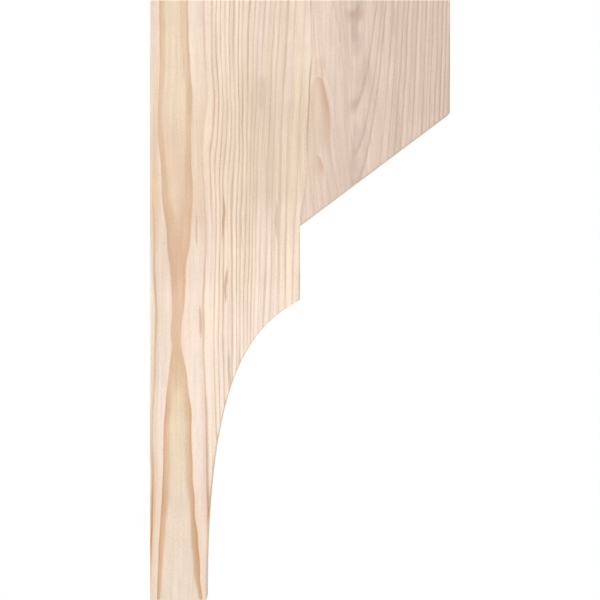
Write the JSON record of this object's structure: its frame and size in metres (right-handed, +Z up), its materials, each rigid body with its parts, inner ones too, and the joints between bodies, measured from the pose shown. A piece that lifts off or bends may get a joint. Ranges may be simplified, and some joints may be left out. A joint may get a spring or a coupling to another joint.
{
  "type": "wooden corbel bracket",
  "caption": "Flat-sided timber corbel bracket with an upright nose, a straight slope, a square step and a long concave hollow down to a narrow foot.",
  "frame": {"origin": "centre of the flat back that bears on the wall, where the bracket is fixed", "axes": "+X out from the wall, +Y across the thickness, +Z up along the wall"},
  "size_m": [0.2032, 0.0888, 0.4064],
  "materials": {
    "bare_softwood": "matte"
  },
  "bodies": {
    "root": {"corbel": "bare_softwood"}
  },
  "joints": []
}
